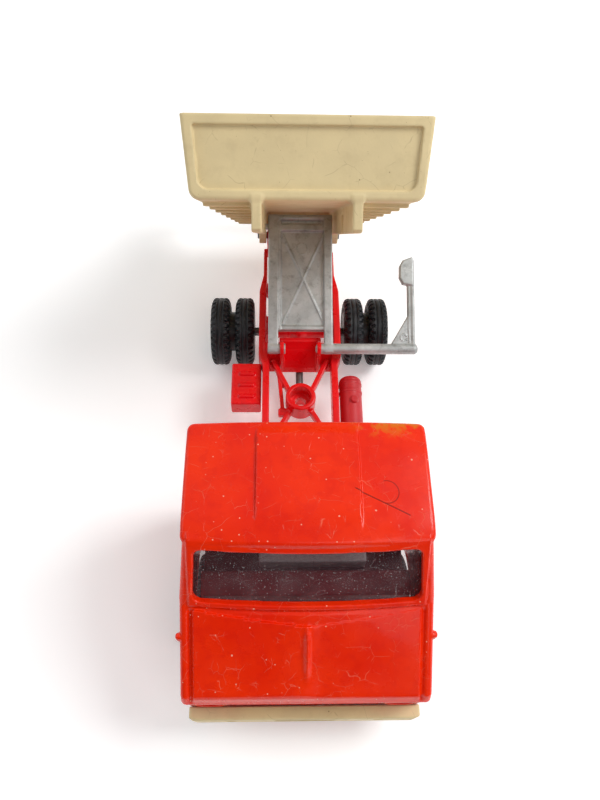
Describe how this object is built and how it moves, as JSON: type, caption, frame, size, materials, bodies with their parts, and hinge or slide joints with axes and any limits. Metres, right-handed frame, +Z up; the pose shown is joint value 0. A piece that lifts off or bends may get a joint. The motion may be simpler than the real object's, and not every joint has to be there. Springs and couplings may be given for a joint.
{
  "type": "toy tipper truck",
  "caption": "Toy tipper truck: sloping-bonnet cab on a ladder chassis, a tray hinged at the rear, a hand-lever lift frame under it and a hanging tailgate.",
  "frame": {"origin": "middle of the whole truck's footprint, on the ground under the wheels, in the raised pose", "axes": "+Y towards the tailgate, so the cab faces -Y; +X towards the truck's own left side, where the lever is; +Z up"},
  "size_m": [0.0578, 0.1546, 0.085],
  "materials": {
    "cab_shell": "gloss orange-red enamel on a zinc casting",
    "window_glazing": "clear plastic, dusty",
    "cabin_moulding": "dark maroon-grey plastic",
    "front_bumper": "cream plastic",
    "radiator_grille": "cream plastic",
    "headlamps": "bright plastic lens",
    "chassis_frame": "bright red plastic",
    "flank_boxes": "duller red plastic",
    "small_steel": "plain steel",
    "prop_shaft": "bare grey metal",
    "wheel_hubs": "black plastic",
    "tyres": "black rubber with block tread",
    "lift_frame": "bare cast zinc, dull grey",
    "tipper_body": "cream plastic",
    "tailgate": "cream plastic"
  },
  "bodies": {
    "truck": {"cab_shell": "cab_shell", "window_glazing": "window_glazing", "cabin_moulding": "cabin_moulding", "front_bumper": "front_bumper", "radiator_grille": "radiator_grille", "headlamp_right": "headlamps", "headlamp_left": "headlamps", "chassis_frame": "chassis_frame", "cab_screw": "small_steel", "prop_shaft": "prop_shaft", "battery_box": "flank_boxes", "fuel_tank": "flank_boxes", "tipping_pin": "small_steel"},
    "front_wheels": {"front_axle": "small_steel", "front_hub_right": "wheel_hubs", "front_tyre_right": "tyres", "front_hub_left": "wheel_hubs", "front_tyre_left": "tyres"},
    "rear_wheels": {"rear_axle": "small_steel", "rear_hub_right": "wheel_hubs", "rear_outer_tyre_right": "tyres", "rear_inner_tyre_right": "tyres", "rear_hub_left": "wheel_hubs", "rear_outer_tyre_left": "tyres", "rear_inner_tyre_left": "tyres"},
    "lift": {"lift_frame": "lift_frame"},
    "tipper": {"tipper_body": "tipper_body"},
    "gate": {"tailgate": "tailgate"}
  },
  "joints": [
    {"name": "front_axle_spin", "type": "hinge", "parent": "truck", "child": "front_wheels", "pos_m": [-0.00237, -0.04877, 0.00955], "axis": [1, 0, 0], "continuous": true},
    {"name": "rear_axle_spin", "type": "hinge", "parent": "truck", "child": "rear_wheels", "pos_m": [-0.00237, 0.02613, 0.00955], "axis": [1, 0, 0], "continuous": true},
    {"name": "tipper_tilt", "type": "hinge", "parent": "truck", "child": "tipper", "pos_m": [-0.00237, 0.05414, 0.0184], "axis": [-1, 0, 0], "range_deg": [-50, 0]},
    {"name": "lift_frame_turn", "type": "hinge", "parent": "truck", "child": "lift", "pos_m": [-0.00237, 0.01314, 0.0214], "axis": [1, 0, 0], "range_deg": [-29, 0]},
    {"name": "tailgate_swing", "type": "hinge", "parent": "tipper", "child": "gate", "pos_m": [-0.00237, 0.07551, 0.02778], "axis": [1, 0, 0], "range_deg": [-50, 25]}
  ],
  "couplings": [
    {"joint": "lift_frame_turn", "follows": "tipper_tilt", "ratio": 0.58}
  ]
}
